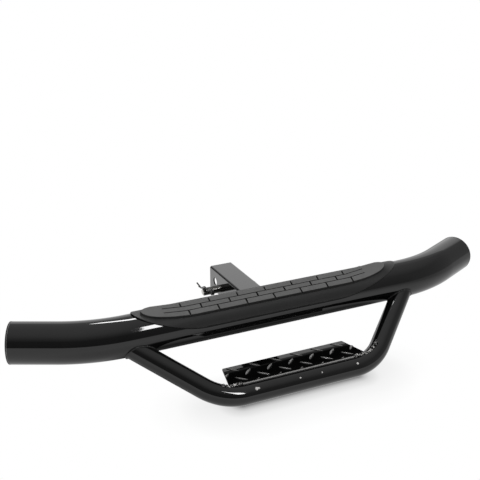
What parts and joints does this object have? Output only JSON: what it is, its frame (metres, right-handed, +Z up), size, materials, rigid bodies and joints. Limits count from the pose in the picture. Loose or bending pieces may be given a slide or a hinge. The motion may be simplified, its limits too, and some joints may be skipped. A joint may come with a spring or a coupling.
{
  "type": "hitch receiver step",
  "caption": "Tubular step bar with swept-back ends, a moulded step pad, a lower hanging step with a tread plate, and a square receiver shank with a bent pin and hairpin clip.",
  "frame": {"origin": "centre of the free pin hole, on the shank's axis", "axes": "+X along the step bar, to the right seen from behind the vehicle; +Y along the shank into the receiver; +Z up"},
  "size_m": [1.0012, 0.3698, 0.1689],
  "materials": {
    "black_paint": "gloss black powder coat",
    "cap_plastic": "satin black",
    "pad_plastic": "matte, fine ribs",
    "clip_plastic": "matte",
    "zinc_plate": "bright zinc",
    "spring_wire": "bright zinc"
  },
  "bodies": {
    "step_frame": {"main_tube": "black_paint", "end_cap_left": "cap_plastic", "end_cap_right": "cap_plastic", "step_pad": "pad_plastic", "pad_clip_1": "clip_plastic", "pad_clip_2": "clip_plastic", "pad_clip_3": "clip_plastic", "pad_clip_4": "clip_plastic", "step_tube": "black_paint", "tread_plate": "black_paint", "receiver_shank": "black_paint", "weld_leg_left": "black_paint", "weld_leg_right": "black_paint", "weld_shank": "black_paint", "weld_tread_left": "black_paint", "weld_tread_right": "black_paint"},
    "pin": {"hitch_pin": "zinc_plate"},
    "clip": {"hairpin_clip": "spring_wire"}
  },
  "joints": [
    {"name": "pin_slide", "type": "slide", "parent": "step_frame", "child": "pin", "axis": [1, 0, 0], "range_m": [0, 0.032]},
    {"name": "clip_pull", "type": "slide", "parent": "pin", "child": "clip", "axis": [0, -0.9877, 0.1564], "range_m": [0, 0.056], "deforming": ["hairpin_clip"]}
  ]
}
